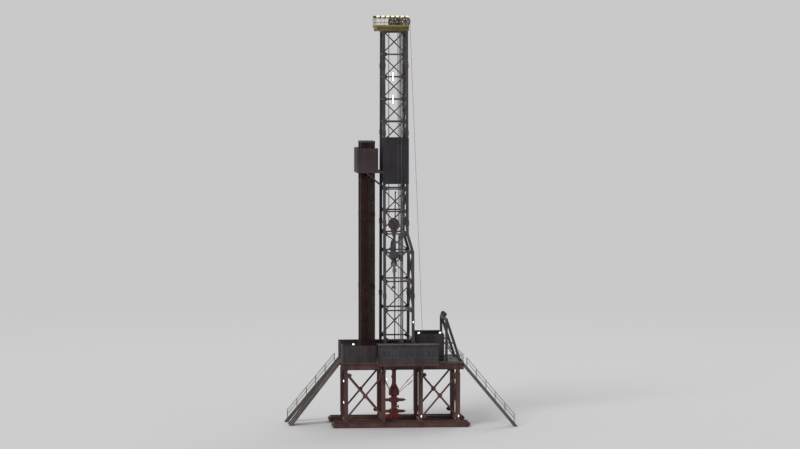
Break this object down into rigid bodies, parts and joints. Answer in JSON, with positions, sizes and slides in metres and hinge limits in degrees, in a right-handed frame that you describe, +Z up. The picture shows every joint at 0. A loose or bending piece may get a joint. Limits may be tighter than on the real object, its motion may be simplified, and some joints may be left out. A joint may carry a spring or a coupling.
{
  "type": "oil drilling rig, 1:2 scale model",
  "caption": "Land drilling rig with a lattice mast, racked pipe, crown, top drive on rails, raised drill floor on pinned legs, doghouse, stairs and pipe ramp.",
  "frame": {"origin": "centre of the wellhead flange's lower face, on the ground", "axes": "+Z up along the well's axis, +X from the pipe ramp towards the drawworks, +Y from the doghouse side towards the far side"},
  "size_m": [15.1324, 5.97, 26.91],
  "materials": {
    "oxide_paint": "dark oxide-red paint, dusty and rust-streaked",
    "mast_paint": "dark slate paint, chalked, with rust at the joints",
    "deck_plate": "worn steel plate and grating",
    "machined_steel": "bare steel, polished where it runs",
    "timber": "oil-soaked hardwood mats",
    "preventer_paint": "red enamel, mud-splashed",
    "machine_paint": "dark grey machine enamel",
    "block_paint": "dark enamel, worn at the edges",
    "panel_paint": "charcoal paint on ribbed sheet",
    "window_glass": "tinted glass",
    "rail_paint": "dark grey-brown paint, rubbed bare on top",
    "drill_pipe": "brown mill scale with rust",
    "wire_rope": "greased wire rope",
    "lamp_warm": "warm white lamp lenses in dark housings",
    "lamp_cool": "cool white lamp lenses in dark housings"
  },
  "bodies": {
    "rig": {"base_skids": "oxide_paint", "base_spreaders": "oxide_paint", "support_legs": "oxide_paint", "substructure_braces": "oxide_paint", "floor_girders": "oxide_paint", "floor_spreaders": "oxide_paint", "drill_floor": "deck_plate", "rotary_table": "machined_steel", "setback_mats": "timber", "mast_shoes": "mast_paint", "bop_stack": "preventer_paint", "bop_stays": "machined_steel", "drawworks": "machine_paint", "raising_frame": "mast_paint", "doghouse_platform": "oxide_paint", "doghouse_walls": "panel_paint", "doghouse_roof": "panel_paint", "doghouse_glazing": "window_glass", "doghouse_door": "panel_paint", "floor_wind_walls": "panel_paint", "handrails": "rail_paint", "pipe_ramp": "deck_plate", "stair_stringers": "rail_paint", "stair_treads": "deck_plate", "front_legs": "mast_paint", "rear_legs": "mast_paint", "side_bracing_near": "mast_paint", "side_bracing_far": "mast_paint", "cross_bracing": "mast_paint", "mast_wind_walls": "panel_paint", "racking_board": "mast_paint", "board_fingers": "mast_paint", "board_wind_walls": "panel_paint", "racked_pipe": "drill_pipe", "crown_frame": "mast_paint", "crown_platform": "mast_paint", "crown_sheaves": "machine_paint", "guide_rails": "machined_steel", "mast_ladder": "rail_paint", "standpipe": "machine_paint", "drilling_lines": "wire_rope", "fast_and_dead_lines": "wire_rope", "deadline_anchor": "machine_paint", "crown_lamps": "lamp_warm", "flood_lamps": "lamp_cool"},
    "travelling_gear": {"travelling_block": "block_paint", "top_drive": "machine_paint", "top_drive_carriage": "machine_paint", "pipe_handler": "machined_steel"}
  },
  "joints": [
    {"name": "hoist", "type": "slide", "parent": "rig", "child": "travelling_gear", "axis": [0, 0, 1], "range_m": [-4.4, 10.8], "deforming": ["drilling_lines"]}
  ]
}
